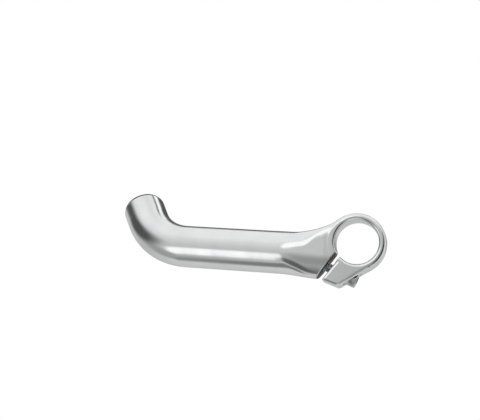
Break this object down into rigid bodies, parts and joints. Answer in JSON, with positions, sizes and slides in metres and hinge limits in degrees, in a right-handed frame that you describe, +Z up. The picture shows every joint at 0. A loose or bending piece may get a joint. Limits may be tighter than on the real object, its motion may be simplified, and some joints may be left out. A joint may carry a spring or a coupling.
{
  "type": "bicycle bar end",
  "caption": "Polished forged aluminium bar end for a bicycle handlebar: bent hollow arm with a split ring clamp, a cross screw and a plugged open end.",
  "frame": {"origin": "centre of the clamp's bore, half way along it", "axes": "Y along the bore, -Y to the outboard side and +Y inboard; -X towards the far end of the arm; +Z up, the way the tip turns"},
  "size_m": [0.1468, 0.0694, 0.0577],
  "materials": {
    "forged_aluminium": "polished to a soft satin sheen",
    "plated_steel": "bright plated",
    "washer_steel": "plain plated",
    "plug_plastic": "moulded matt black"
  },
  "bodies": {
    "bar_end": {"bar_end_arm": "forged_aluminium", "end_plug": "plug_plastic"},
    "washer": {"screw_washer": "washer_steel"},
    "screw": {"clamp_screw": "plated_steel"}
  },
  "joints": [
    {"name": "screw_travel", "type": "slide", "parent": "bar_end", "child": "washer", "axis": [0.9063, 0, -0.4226], "range_m": [0, 0.0064]},
    {"name": "screw_turn", "type": "hinge", "parent": "washer", "child": "screw", "pos_m": [-0.00562, 0, -0.0168], "axis": [0.9063, 0, -0.4226], "range_deg": [0, 2880]}
  ],
  "couplings": [
    {"joint": "screw_turn", "follows": "screw_travel", "rad_per_m": 7854}
  ]
}
